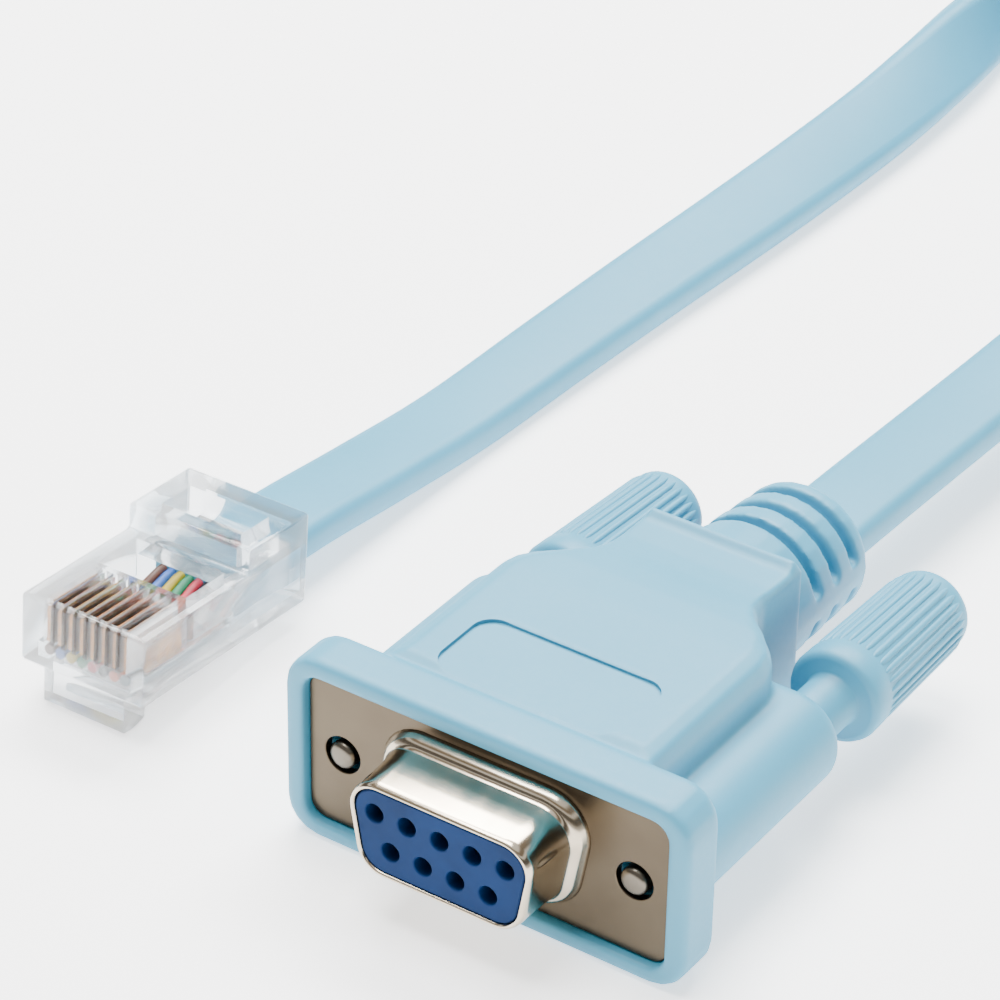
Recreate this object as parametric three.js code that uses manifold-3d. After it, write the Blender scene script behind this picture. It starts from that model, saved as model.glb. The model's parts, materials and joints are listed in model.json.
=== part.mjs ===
// Console cable: a moulded nine-way D connector and a clear eight-way modular plug on one flat cable.
// Millimetres, +Z up. X runs across the D connector, Y from its mating face towards the cable.
// The origin is under the middle of the D connector, on the surface that it lies on.

import * as THREE from "three";
import { mergeVertices } from "three/addons/utils/BufferGeometryUtils.js";
import Module from "manifold-3d";

const wasm = await Module();
wasm.setup();

// Clearances
const slip = 0.12; // round a piece that slides in a pocket
const seat = 0.3; // behind a seated piece, and where separate pieces meet
const overshoot = 1; // how far a cutting tool runs past the face that it opens
const weld = 0.6; // how far joined blocks of one moulding run into each other

// Metal face plate and D-shaped shell of the nine-way connector
const screwSpacing = 24.99;
const screwHoleRadius = 1.525;
const plateEnd = 2.91; // from each screw's line to the plate's end
const plateWidth = screwSpacing + 2 * plateEnd;
const plateHeight = 12.55;
const plateCorner = 1.3;
const plateThickness = 0.8;
const shellWidth = 16.33;
const shellHeight = 7.9;
const shellCorner = 2.4;
const shellSlant = THREE.MathUtils.degToRad(10);
const shellLength = 5.9;
const shellWall = 0.45;
const shellRim = 0.27; // rounding of its front rim
const shellLeastCorner = 0.5;
const beadSpread = 0.75;
const beadLength = 0.9;
const beadRound = 0.45;

// Insulator and its nine socket contacts
const insulatorSetback = 0.15;
const insulatorRear = 5.2;
const insulatorFlange = 0.9;
const insulatorFlangeLength = 1.5;
const contactPitch = 2.77;
const contactRowSpacing = 2.84;
const longRow = 5;
const shortRow = 4;
const contactRadius = 0.8;
const contactBore = 0.5;
const contactBoreDepth = 4.5;
const contactSetback = 1.4;
const contactTail = 1.0;
const guideRadius = 0.62;
const guideLength = 1.1;

// Hood: one soft moulding with a front flange, a body, two screw ears and the cable boot
const hoodRim = 1.795; // beside the plate's ends
const hoodWidth = plateWidth + 2 * hoodRim;
const hoodHeight = 15.7;
const flangeCorner = 2.8;
const flangeLip = 0.8; // how far the rim stands in front of the plate
const flangeLength = 4.3;
const edgeRound = 0.6;
const bodyWidth = 23.2;
const bodyShoulder = 18.2; // where the sides start to draw in
const bodyEdge = 1.6;
const neckWidth = 13.4;
const neckStart = 26;
const neckEnd = 31.5;
const neckHeight = 13.4;
const neckLip = 0.5; // how far the neck's rear edge stands up
const neckLipLength = 1.4;
const planBend = 0.45; // how far the S-curves hold their end directions, as shares of their length
const sideBend = 0.5;
const earRadius = 3.9;
const earFlat = 0.12; // half of the short flat left on its outer side
const earRear = 21.7;
const earEdge = 0.9;
const labelWidth = 15;
const labelLength = 7.4;
const labelStart = 4;
const labelCorner = 1.8;
const labelDepth = 0.25;
const cavityWidth = 20.5;
const cavityHeight = 10.6;
const cavityDepth = 6.2;

// Boot: the ringed strain relief behind the neck
const bootEnd = 44.2;
const bootBaseWidth = 12.2;
const bootEndWidth = 11.2;
const bootDroop = 0.7; // how far its end hangs below the axis
const bootEdge = 0.8; // length of the edge that draws in at its end
const bootEdgeInset = 0.5;
const bootSlots = 3;
const bootSlotPitch = 2.9;
const bootSlotLength = 1;
const bootSlotDepth = 1.2;
const bootCollar = 1.9; // from the last slot to the end
const bootRail = 2.2; // height of the solid rail left along each side

// Thumbscrews
const threadRadius = 1.42;
const tipRadius = 1.1;
const tipLength = 3;
const tipProud = 0.35;
const tipChamfer = 0.3;
const screwEnd = 29.6;
const sleeveRadius = 2.15;
const sleeveInEar = 2.4;
const knobFront = 26.7;
const knobEnd = 42;
const knobFrontRadius = 3.85;
const knobEndRadius = 3.55;
const knobBand = 2.2; // plain band in front of the ribs
const knobDome = 1.4;
const domeSteps = [0.25, 0.55, 0.8]; // shares of the way round the dome
const knobRibs = 26;
const knobRibDepth = 0.22;
const knobDroop = THREE.MathUtils.degToRad(-0.4);
const knobLean = { left: THREE.MathUtils.degToRad(-1.9), right: 0 }; // loose in their holes

// Flat cable
const cableWidth = 7.6;
const cableThickness = 3.1;
const cableCorner = 1.2;
const cableEntry = 22; // where it starts inside the hood

// Eight-way modular plug, in its own frame: y from its nose backwards, z from its underside
const plugWidth = 11.68;
const plugLength = 20.8;
const plugFrontHeight = 5.9;
const plugRearHeight = 8;
const plugStep = 13;
const plugEdge = 0.3;
const plugCorner = 0.35;
const plugPitch = 1.016;
const plugWays = 8;
const bladeThickness = 0.36;
const bladeStart = 0.95;
const bladeLength = 5.2;
const bladeFoot = 2.15;
const bladeTop = 5.35;
const slotWidth = 0.62;
const slotEnd = 6.6;
const wireRadius = 0.43;
const wireHeight = 1.45;
const wireStart = 0.9;
const ductHeight = 1.3;
const ductWidth = 8.7;
const cableEntryHeight = 2.7;
const cableStop = 11.6; // where the outer jacket ends inside the plug
const windowStart = 7.2;
const windowEnd = 12;
const windowFloor = 2.6;
const windowWidth = 8.4;
const clampStart = 14.6;
const clampLength = 3.6;
const clampWidth = 7.6;
const clampFloor = 5.2;
const noseWidth = 7.6;
const noseDrop = 3.1;
const noseLength = 3;
const noseFlat = 1.8; // length of its flat underside
const noseRound = 0.2;
const latchWidth = 5.6;
const latchThickness = 1;
const latchRound = 0.25;
const latchEnd = 14.4;
const latchPivotHeight = -1.75;
const latchEndHeight = -1.45;
const plugPlace = [-37.2, 0.4, -4.4];
const plugTurn = THREE.MathUtils.degToRad(0.8);
const plugTilt = THREE.MathUtils.degToRad(-5);

// Coil that takes up the rest of the cable, lying flat with the cable on edge
const coilCentre = [12.2, 163];
const coilTurns = 6;
const turnPitch = 3.2;
const firstTurnRadius = 27.4;
const tieWidth = 5;
const tieThickness = 0.8;
const tieAngle = THREE.MathUtils.degToRad(100);
const tieCorner = 0.6;
const underside = 0.1; // between what lies on the surface and the surface

// Everything below that belongs to the connector is measured from the plate's front face,
// on the connector's axis. These shift it to the origin.
const axisHeight = hoodHeight / 2;
const connectorMiddle = (bootEnd - shellLength) / 2;
const floor = -axisHeight;

const paint = (color, roughness, metalness = 0, opacity = 1) =>
  new THREE.MeshStandardMaterial({ color, roughness, metalness, opacity, transparent: opacity < 1 });

const lightBlue = 0xb4d2dc;
const wireColours = [0x6b4636, 0x3f6fc4, 0xcdb33a, 0x2f8d63, 0xc8394b, 0x2a2a2e, 0xd9663a, 0x6f7f86];

const thumbscrews = [
  ["left", -1],
  ["right", 1],
];

const part = new THREE.Group();
const connector = new THREE.Group();
connector.position.set(0, -connectorMiddle, axisHeight);
part.add(connector);

function addMesh(parent, name, geometry, material) {
  const mesh = new THREE.Mesh(geometry, material);
  mesh.name = name;
  parent.add(mesh);
  return mesh;
}

// Closed solids to and from the boolean library
function toSolid(geometry) {
  const bare = geometry.clone();
  bare.deleteAttribute("normal");
  bare.deleteAttribute("uv");
  const merged = mergeVertices(bare, 1e-4);
  return new wasm.Manifold(
    new wasm.Mesh({
      numProp: 3,
      vertProperties: new Float32Array(merged.attributes.position.array),
      triVerts: new Uint32Array(merged.index.array),
    }),
  );
}

function toGeometry(solid) {
  const mesh = solid.getMesh();
  const geometry = new THREE.BufferGeometry();
  geometry.setAttribute("position", new THREE.BufferAttribute(new Float32Array(mesh.vertProperties), 3));
  geometry.setIndex(new THREE.BufferAttribute(new Uint32Array(mesh.triVerts), 1));
  geometry.computeVertexNormals();
  return geometry;
}

const join = (first, ...others) => others.reduce((sum, next) => sum.add(toSolid(next)), toSolid(first));
const cut = (solid, tools) => tools.reduce((rest, tool) => rest.subtract(toSolid(tool)), solid);

// A polygon with each corner turned into an arc
function roundedPolygon(corners, radius) {
  const shape = new THREE.Shape();
  corners.forEach((corner, i) => {
    const here = new THREE.Vector2(...corner);
    const before = new THREE.Vector2(...corners.at(i - 1)).sub(here).normalize();
    const after = new THREE.Vector2(...corners[(i + 1) % corners.length]).sub(here).normalize();
    const half = Math.acos(THREE.MathUtils.clamp(before.dot(after), -1, 1)) / 2;
    const start = here.clone().addScaledVector(before, radius / Math.tan(half));
    const end = here.clone().addScaledVector(after, radius / Math.tan(half));
    const middle = before.clone().add(after).normalize().multiplyScalar(radius / Math.sin(half)).add(here);
    const angle = (point) => Math.atan2(point.y - middle.y, point.x - middle.x);
    const turnsRight = before.cross(after) > 0;
    if (i === 0) shape.moveTo(start.x, start.y);
    else shape.lineTo(start.x, start.y);
    shape.absarc(middle.x, middle.y, radius, angle(start), angle(end), turnsRight);
  });
  shape.closePath();
  return shape;
}

const rectangle = (width, height, radius, x = 0, y = 0) =>
  roundedPolygon(
    [
      [x - width / 2, y - height / 2],
      [x + width / 2, y - height / 2],
      [x + width / 2, y + height / 2],
      [x - width / 2, y + height / 2],
    ],
    radius,
  );

function ellipse(width, height) {
  const shape = new THREE.Shape();
  shape.absellipse(0, 0, width / 2, height / 2, 0, Math.PI * 2, false);
  return shape;
}

// An outline drawn in X and Z, made solid from y = from to y = to, with its end edges bevelled
function alongY(shape, from, to, edge = 0, curveSegments = 2) {
  const geometry = new THREE.ExtrudeGeometry(shape, {
    depth: to - from - 2 * edge,
    curveSegments,
    bevelEnabled: edge > 0,
    bevelThickness: edge,
    bevelSize: edge,
    bevelOffset: -edge,
    bevelSegments: 2,
  });
  return geometry.rotateX(Math.PI / 2).translate(0, to - edge, 0);
}

// An outline drawn in X and Y, made solid from z = from to z = to
function alongZ(shape, from, to, edge = 0, curveSegments = 2) {
  const geometry = new THREE.ExtrudeGeometry(shape, {
    depth: to - from - 2 * edge,
    curveSegments,
    bevelEnabled: edge > 0,
    bevelThickness: edge,
    bevelSize: edge,
    bevelOffset: -edge,
    bevelSegments: 2,
  });
  return geometry.translate(0, 0, from + edge);
}

// An outline drawn in Y and Z, made solid across X
function acrossX(shape, width, edge = 0, curveSegments = 2) {
  return alongZ(shape, -width / 2, width / 2, edge, curveSegments)
    .rotateX(Math.PI / 2)
    .rotateZ(Math.PI / 2);
}

function block(width, length, height, x, y, z) {
  return new THREE.BoxGeometry(width, length, height).translate(x, y, z);
}

// A round solid on the Y axis, from (radius, y) pairs that start and end on the axis
function turnedOnY(profile, segments = 20) {
  return new THREE.LatheGeometry(
    profile.map(([radius, y]) => new THREE.Vector2(radius, y)),
    segments,
  );
}

const rod = (radius, from, to, segments = 20) =>
  turnedOnY([[0, from], [radius, from], [radius, to], [0, to]], segments);

// The D outline: wider at the top, with slanted ends, grown all round by an offset
function dOutline(offset) {
  const top = shellWidth / 2;
  const bottom = top - shellHeight * Math.tan(shellSlant);
  const high = shellHeight / 2 + offset;
  const grow = offset / Math.cos(shellSlant);
  const lean = offset * Math.tan(shellSlant);
  return roundedPolygon(
    [
      [-bottom - grow + lean, -high],
      [bottom + grow - lean, -high],
      [top + grow + lean, high],
      [-top - grow - lean, high],
    ],
    Math.max(shellCorner + offset, shellLeastCorner),
  );
}

function faceShell() {
  const holes = [-1, 1].map((side) =>
    rod(screwHoleRadius, -overshoot, plateThickness + overshoot).translate((side * screwSpacing) / 2, 0, 0),
  );
  const body = join(
    alongY(rectangle(plateWidth, plateHeight, plateCorner), 0, plateThickness),
    alongY(dOutline(0), -shellLength, plateThickness / 2, shellRim, 3),
    alongY(dOutline(beadSpread), -beadLength, plateThickness / 2, beadRound, 3),
  );
  const hollow = alongY(dOutline(-shellWall), -shellLength - overshoot, plateThickness + overshoot, 0, 3);
  return toGeometry(cut(body, [hollow, ...holes]));
}

// Middles of the nine contacts, in X and Z
function contactPlaces() {
  const rows = [
    [longRow, contactRowSpacing / 2],
    [shortRow, -contactRowSpacing / 2],
  ];
  return rows.flatMap(([count, z]) =>
    Array.from({ length: count }, (_, i) => [(i - (count - 1) / 2) * contactPitch, z]),
  );
}

function insulator() {
  const front = -shellLength + insulatorSetback;
  const flangeFront = plateThickness + slip;
  const body = join(
    alongY(dOutline(-shellWall - slip), front, insulatorRear, 0, 3),
    alongY(dOutline(insulatorFlange), flangeFront, flangeFront + insulatorFlangeLength, 0, 2),
  );
  const holes = contactPlaces().flatMap(([x, z]) => [
    rod(guideRadius, front - overshoot, front + guideLength + overshoot, 12).translate(x, 0, z),
    rod(contactRadius + slip, front + guideLength, insulatorRear + overshoot, 10).translate(x, 0, z),
  ]);
  return toGeometry(cut(body, holes));
}

function socketContact() {
  const front = -shellLength + contactSetback;
  const rear = insulatorRear + contactTail;
  return turnedOnY(
    [
      [0, front + contactBoreDepth],
      [contactBore, front + contactBoreDepth],
      [contactBore, front],
      [contactRadius, front],
      [contactRadius, rear],
      [0, rear],
    ],
    12,
  );
}

// The body's outline seen from above: parallel sides, then an S-curve down to the neck
function bodyPlan() {
  const wide = bodyWidth / 2;
  const narrow = neckWidth / 2;
  const bend = (neckStart - bodyShoulder) * planBend;
  const shape = new THREE.Shape();
  shape.moveTo(wide, flangeLength - flangeLip - weld);
  shape.lineTo(wide, bodyShoulder);
  shape.bezierCurveTo(wide, bodyShoulder + bend, narrow, neckStart - bend, narrow, neckStart);
  shape.lineTo(narrow, neckEnd);
  shape.lineTo(-narrow, neckEnd);
  shape.lineTo(-narrow, neckStart);
  shape.bezierCurveTo(-narrow, neckStart - bend, -wide, bodyShoulder + bend, -wide, bodyShoulder);
  shape.lineTo(-wide, flangeLength - flangeLip - weld);
  shape.closePath();
  return shape;
}

// The body's outline seen from the side: full height, then sloping down to the neck
function bodySide() {
  const high = hoodHeight / 2;
  const low = neckHeight / 2;
  const lipStart = neckEnd - neckLipLength;
  const bend = (lipStart - bodyShoulder) * sideBend;
  const shape = new THREE.Shape();
  shape.moveTo(0, -high);
  shape.lineTo(bodyShoulder, -high);
  shape.bezierCurveTo(bodyShoulder + bend, -high, lipStart - bend, -low, lipStart, -low);
  shape.lineTo(neckEnd + overshoot, -low);
  shape.lineTo(neckEnd + overshoot, low + neckLip);
  shape.lineTo(neckEnd - neckLipLength / 2, low + neckLip);
  shape.lineTo(lipStart, low);
  shape.bezierCurveTo(lipStart - bend, low, bodyShoulder + bend, high, bodyShoulder, high);
  shape.lineTo(0, high);
  shape.closePath();
  return shape;
}

// Places on the boot are shares of the way from the neck to its end
const alongBoot = (y) => (y - neckEnd) / (bootEnd - neckEnd);
const bootRadius = (y) => THREE.MathUtils.lerp(bootBaseWidth, bootEndWidth, alongBoot(y)) / 2;
const bootHeight = (y) => -bootDroop * alongBoot(y);

// A tapered round solid along the boot's drooping line, drawn in by inset, and more at its end by edge
function bootCore(from, to, inset, edge = 0) {
  const geometry = alongY(ellipse(2, 2), from, to, 0, 12);
  const points = geometry.attributes.position;
  for (let i = 0; i < points.count; i++) {
    const y = points.getY(i);
    const atEnd = y > (from + to) / 2;
    const radius = bootRadius(y) - inset - (atEnd ? edge : 0);
    points.setXYZ(i, points.getX(i) * radius, y, points.getZ(i) * radius + bootHeight(y));
  }
  return geometry;
}

// Grooves round the boot, stopped by a solid rail on each side
function bootGrooves() {
  const last = bootEnd - bootCollar - bootSlotLength / 2;
  return Array.from({ length: bootSlots }, (_, i) => {
    const middle = last - i * bootSlotPitch;
    const reach = bootSlotLength / 2 + overshoot;
    const core = toSolid(bootCore(middle - reach, middle + reach, bootSlotDepth));
    const halves = [-1, 1].map((side) => {
      const z = bootHeight(middle) + (side * (bootBaseWidth + bootRail)) / 2;
      const ring = block(bootBaseWidth + overshoot, bootSlotLength, bootBaseWidth, 0, middle, z);
      return toSolid(ring).subtract(core);
    });
    return halves[0].add(halves[1]);
  });
}

// A lug round each thumbscrew, running into the body
function ear(side) {
  const outer = screwSpacing / 2 + earRadius;
  const inner = bodyWidth / 2 - 2 * earRadius;
  const outline = rectangle(outer - inner, 2 * earRadius, earRadius - earFlat, (side * (outer + inner)) / 2);
  return alongY(outline, flangeLength - flangeLip - weld, earRear, earEdge, 5);
}

// Turns a geometry on a thumbscrew's own line to the place of that line in the connector
function onThumbscrew(geometry, name, side) {
  const turn = new THREE.Euler(knobDroop, 0, knobLean[name], "ZYX");
  return geometry
    .applyMatrix4(new THREE.Matrix4().makeRotationFromEuler(turn))
    .translate((side * screwSpacing) / 2, 0, 0);
}

function hood() {
  const flangeFront = -flangeLip;
  const body = toSolid(alongZ(bodyPlan(), -hoodHeight / 2, hoodHeight / 2, bodyEdge, 6)).intersect(
    toSolid(acrossX(bodySide(), bodyWidth + overshoot, 0, 5)),
  );
  let solid = toSolid(
    alongY(rectangle(hoodWidth, hoodHeight, flangeCorner), flangeFront, flangeFront + flangeLength, edgeRound),
  )
    .add(body)
    .add(toSolid(ear(1)))
    .add(toSolid(ear(-1)))
    .add(toSolid(bootCore(neckEnd - weld, bootEnd - bootEdge, 0)))
    .add(toSolid(bootCore(bootEnd - bootEdge, bootEnd, 0, bootEdgeInset)));
  for (const groove of bootGrooves()) solid = solid.subtract(groove);
  const pocketFloor = plateThickness + seat;
  const pocket = rectangle(plateWidth + 2 * slip, plateHeight + 2 * slip, plateCorner + slip);
  const screws = thumbscrews.flatMap(([name, side]) => [
    onThumbscrew(rod(threadRadius + seat, 0, earRear), name, side),
    onThumbscrew(rod(sleeveRadius + seat, earRear - sleeveInEar - seat, earRear + overshoot), name, side),
  ]);
  return toGeometry(
    cut(solid, [
      alongY(pocket, flangeFront - overshoot, pocketFloor),
      block(cavityWidth, cavityDepth, cavityHeight, 0, pocketFloor + cavityDepth / 2 - weld, 0),
      cableAlong(cableChannel, cableSection(seat), 12),
      alongZ(
        rectangle(labelWidth, labelLength, labelCorner, 0, labelStart + labelLength / 2),
        hoodHeight / 2 - labelDepth,
        hoodHeight / 2 + overshoot,
      ),
      ...screws,
    ]),
  );
}

function screw() {
  return turnedOnY([
    [0, -tipProud],
    [tipRadius - tipChamfer, -tipProud],
    [tipRadius, tipChamfer - tipProud],
    [tipRadius, tipLength],
    [threadRadius, tipLength + tipChamfer],
    [threadRadius, screwEnd],
    [0, screwEnd],
  ]);
}

// The knob and its sleeve are one moulding round the screw. The ribs are alternate lines of the
// turned surface drawn in.
function knob() {
  const bore = threadRadius + seat;
  const sleeveFront = earRear - sleeveInEar;
  const dome = domeSteps.map((share) => [
    knobEndRadius - knobDome * (1 - Math.sqrt(1 - share * share)),
    knobEnd - knobDome * (1 - share),
  ]);
  const geometry = turnedOnY(
    [
      [0, screwEnd + seat],
      [bore, screwEnd + seat],
      [bore, sleeveFront],
      [sleeveRadius, sleeveFront],
      [sleeveRadius, knobFront],
      [knobFrontRadius - edgeRound, knobFront],
      [knobFrontRadius, knobFront + edgeRound],
      [knobFrontRadius, knobFront + knobBand],
      [knobFrontRadius, knobFront + knobBand + knobRibDepth],
      [knobEndRadius, knobEnd - knobDome],
      ...dome,
      [knobEndRadius - knobDome, knobEnd],
      [0, knobEnd],
    ],
    knobRibs * 2,
  );
  const points = geometry.attributes.position;
  const ribbed = (y) => y > knobFront + knobBand + knobRibDepth / 2 && y < knobEnd - knobDome / 2;
  for (let i = 0; i < points.count; i++) {
    const [x, y, z] = [points.getX(i), points.getY(i), points.getZ(i)];
    const radius = Math.hypot(x, z);
    const line = Math.round((Math.atan2(x, z) / Math.PI) * knobRibs);
    if (radius > bore + seat && ribbed(y) && line % 2 !== 0) {
      const inset = (radius - knobRibDepth) / radius;
      points.setXYZ(i, x * inset, y, z * inset);
    }
  }
  return geometry;
}

// Modular plug pieces, in the plug's own frame
function plugSide() {
  return roundedPolygon(
    [
      [0, 0],
      [plugLength, 0],
      [plugLength, plugRearHeight],
      [plugStep, plugRearHeight],
      [plugStep, plugFrontHeight],
      [0, plugFrontHeight],
    ],
    plugCorner,
  );
}

function plugBody() {
  const slots = Array.from({ length: plugWays }, (_, i) => {
    const x = (i - (plugWays - 1) / 2) * plugPitch;
    const length = slotEnd - bladeStart + seat;
    return block(
      slotWidth,
      length,
      plugFrontHeight,
      x,
      bladeStart - seat + length / 2,
      bladeFoot - seat / 2 + plugFrontHeight / 2,
    );
  });
  const ductEnd = cableStop - wireStart + 2 * seat;
  const nose = acrossX(
    roundedPolygon(
      [
        [plugCorner, weld],
        [plugCorner, -noseDrop],
        [noseFlat, -noseDrop],
        [noseLength, latchPivotHeight - latchThickness],
        [noseLength, weld],
      ],
      noseRound,
    ),
    noseWidth,
  );
  const solid = join(acrossX(plugSide(), plugWidth, plugEdge), nose);
  return toGeometry(
    cut(solid, [
      ...slots,
      block(ductWidth, ductEnd, ductHeight, 0, wireStart - seat + ductEnd / 2, wireHeight),
      block(
        cableWidth + 2 * seat,
        plugLength - cableStop + overshoot,
        cableThickness + 2 * seat,
        0,
        (cableStop + plugLength + overshoot) / 2 - seat,
        cableEntryHeight,
      ),
      block(
        windowWidth,
        windowEnd - windowStart,
        plugRearHeight,
        0,
        (windowStart + windowEnd) / 2,
        windowFloor + plugRearHeight / 2,
      ),
      block(
        clampWidth,
        clampLength,
        plugRearHeight,
        0,
        clampStart + clampLength / 2,
        clampFloor + plugRearHeight / 2,
      ),
    ]),
  );
}

const blade = (x) =>
  block(
    bladeThickness,
    bladeLength,
    bladeTop - bladeFoot,
    x,
    bladeStart + bladeLength / 2,
    (bladeTop + bladeFoot) / 2,
  );

const wire = (x) =>
  rod(wireRadius, wireStart, cableStop - seat, 10).translate(x, 0, wireHeight);

// The latch arm runs back under the plug from the nose
function latchArm() {
  const start = noseLength + seat;
  const half = latchThickness / 2;
  return acrossX(
    roundedPolygon(
      [
        [start, latchPivotHeight - half],
        [latchEnd, latchEndHeight - half],
        [latchEnd, latchEndHeight + half],
        [start, latchPivotHeight + half],
      ],
      latchRound,
    ),
    latchWidth,
  );
}

// Cable route with the flat section's lean given along it: 0 lies flat, 90 stands on edge
class FlatRoute extends THREE.CatmullRomCurve3 {
  constructor(stops) {
    super(stops.map(([x, y, z]) => new THREE.Vector3(x, y, z)), false, "centripetal");
    this.leans = stops.map((stop) => THREE.MathUtils.degToRad(stop[3]));
  }

  leanAt(u) {
    const place = this.getUtoTmapping(u) * (this.leans.length - 1);
    const before = Math.min(Math.floor(place), this.leans.length - 2);
    return THREE.MathUtils.lerp(this.leans[before], this.leans[before + 1], place - before);
  }

  computeFrenetFrames(segments) {
    const tangents = [];
    const normals = [];
    const binormals = [];
    const up = new THREE.Vector3(0, 0, 1);
    for (let i = 0; i <= segments; i++) {
      const tangent = this.getTangentAt(i / segments);
      const across = new THREE.Vector3().crossVectors(up, tangent).normalize();
      const normal = across.applyAxisAngle(tangent, this.leanAt(i / segments));
      tangents.push(tangent);
      normals.push(normal);
      binormals.push(new THREE.Vector3().crossVectors(tangent, normal));
    }
    return { tangents, normals, binormals };
  }
}

const cableSection = (grow = 0) =>
  rectangle(cableWidth + 2 * grow, cableThickness + 2 * grow, cableCorner + grow);

function cableAlong(stops, section, steps) {
  return new THREE.ExtrudeGeometry(section, {
    extrudePath: new FlatRoute(stops),
    steps,
    curveSegments: 1,
    bevelEnabled: false,
  });
}

const coilBottom = floor + underside + tieThickness + seat;
const onEdge = coilBottom + cableWidth / 2;
const overCoil = coilBottom + cableWidth + seat + cableThickness / 2;

// Height of the cable's middle where it lies on the surface at a lean
function lying(lean) {
  const angle = THREE.MathUtils.degToRad(lean);
  const half = (cableWidth * Math.sin(angle) + cableThickness * Math.abs(Math.cos(angle))) / 2;
  return floor + underside + half;
}

// From inside the hood, over the coil's near side, and down into its bore
const hoodEndRoute = [
  [0, cableEntry, 0, 0],
  [0, neckEnd, 0, 0],
  [0, bootEnd - bootCollar, -0.6, 0],
  [0.1, 53, -0.9, 0],
  [0.2, 62, -1.2, 0],
  [0.5, 72, -1.3, 0],
  [1.0, 82, -1.0, 0],
  [1.9, 92, -0.1, 0],
  [3.3, 101, 1.2, 0],
  [5.8, 110.5, overCoil, 0],
  [9.4, 119, overCoil, 0],
  [13.4, 127, overCoil, 0],
  [17.2, 134, overCoil, 0],
  [20.4, 140.6, overCoil, 0],
  [23.6, 146.8, 1.9, 12],
  [27.8, 153.8, -0.5, 42],
  [31.6, 162, -2.1, 74],
  [33, 171, onEdge, 90],
  [30.2, 178, onEdge, 90],
];

// The same line inside the hood, run past the boot's end, for the channel that the cable lies in
const cableChannel = [[0, cableEntry - seat, 0, 0], ...hoodEndRoute.slice(1, 4)];

// From the coil's outer side back to the plug
const plugEndRoute = [
  [-35.2, 147, onEdge, 90],
  [-35.0, 140, lying(102), 102],
  [-34.6, 132, lying(124), 124],
  [-34.3, 124, lying(142), 142],
  [-34.2, 114, lying(154), 154],
  [-34.5, 102, lying(160), 160],
  [-35.1, 90, lying(165), 165],
  [-35.9, 78, lying(170), 170],
  [-36.7, 64, lying(176), 176],
  [-37.3, 50, lying(180), 180],
  [-37.5, 38, -5.2, 180],
  [-37.5, 28, -4.0, 180],
];

// The last points of the route follow the plug's own axis
function insidePlug() {
  const turn = new THREE.Matrix4()
    .makeRotationZ(plugTurn)
    .multiply(new THREE.Matrix4().makeRotationX(plugTilt))
    .setPosition(...plugPlace);
  return [plugLength, (plugLength + cableStop) / 2, cableStop + seat].map((y) => {
    const point = new THREE.Vector3(0, y, cableEntryHeight).applyMatrix4(turn);
    return [point.x, point.y, point.z, 180];
  });
}

function coilRing() {
  const half = cableThickness / 2;
  const inner = firstTurnRadius - half;
  const outer = firstTurnRadius + coilTurns * turnPitch + half;
  const bottom = onEdge - cableWidth / 2;
  const top = onEdge + cableWidth / 2;
  return turnedOnY(
    [
      [inner, bottom],
      [outer, bottom],
      [outer, top],
      [inner, top],
      [inner, bottom],
    ],
    48,
  )
    .rotateX(Math.PI / 2)
    .translate(coilCentre[0], coilCentre[1], 0);
}

// The tie is a flat band round the coil's turns at one place
function coilTie() {
  const bundle = coilTurns * turnPitch + cableThickness;
  const across = bundle + 2 * seat;
  const high = cableWidth + 2 * seat;
  const band = alongY(
    rectangle(across + 2 * tieThickness, high + 2 * tieThickness, tieCorner + tieThickness),
    -tieWidth / 2,
    tieWidth / 2,
  );
  const inside = alongY(rectangle(across, high, tieCorner), -tieWidth, tieWidth);
  return toGeometry(cut(toSolid(band), [inside]))
    .translate(firstTurnRadius + (coilTurns * turnPitch) / 2, 0, onEdge)
    .rotateZ(tieAngle)
    .translate(coilCentre[0], coilCentre[1], 0);
}

// Connector
const metal = paint(0xb9b2a4, 0.32, 1);
addMesh(connector, "face_shell", faceShell(), metal);
addMesh(connector, "insulator", insulator(), paint(0x2b5a92, 0.45));
contactPlaces().forEach(([x, z], i) => {
  const mesh = addMesh(connector, `socket_contact_${i + 1}`, socketContact(), paint(0xc9a24a, 0.3, 1));
  mesh.position.set(x, 0, z);
});
addMesh(connector, "hood", hood(), paint(lightBlue, 0.5));
thumbscrews.forEach(([name, side]) => {
  addMesh(connector, `screw_${name}`, onThumbscrew(screw(), name, side), paint(0xb8b6b0, 0.3, 1));
  addMesh(connector, `knob_${name}`, onThumbscrew(knob(), name, side), paint(lightBlue, 0.5));
});

// Plug
const plug = new THREE.Group();
plug.position.set(...plugPlace);
plug.rotation.set(plugTilt, 0, plugTurn, "ZYX");
connector.add(plug);
addMesh(plug, "plug_body", plugBody(), paint(0xe6ecee, 0.08, 0, 0.35));
addMesh(plug, "latch_arm", latchArm(), paint(0xe6ecee, 0.08, 0, 0.35));
wireColours.forEach((colour, i) => {
  const x = (i - (plugWays - 1) / 2) * plugPitch;
  addMesh(plug, `blade_${i + 1}`, blade(x), paint(0xd9a441, 0.25, 1));
  addMesh(plug, `wire_${i + 1}`, wire(x), paint(colour, 0.5));
});

// Cable
const jacket = paint(lightBlue, 0.5);
const plugEndStops = [...plugEndRoute, ...insidePlug()];
addMesh(connector, "cable_hood_end", cableAlong(hoodEndRoute, cableSection(), 44), jacket);
addMesh(connector, "cable_coil", coilRing(), jacket);
addMesh(connector, "cable_plug_end", cableAlong(plugEndStops, cableSection(), 32), jacket);
addMesh(connector, "coil_tie", coilTie(), paint(0x2a2a2e, 0.6));

export default part;
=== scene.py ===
"""Looks of the console cable: a nine-way D connector and a clear modular plug on one flat cable."""

import json
import math

import bmesh
import bpy
from mathutils import Matrix, Vector

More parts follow.
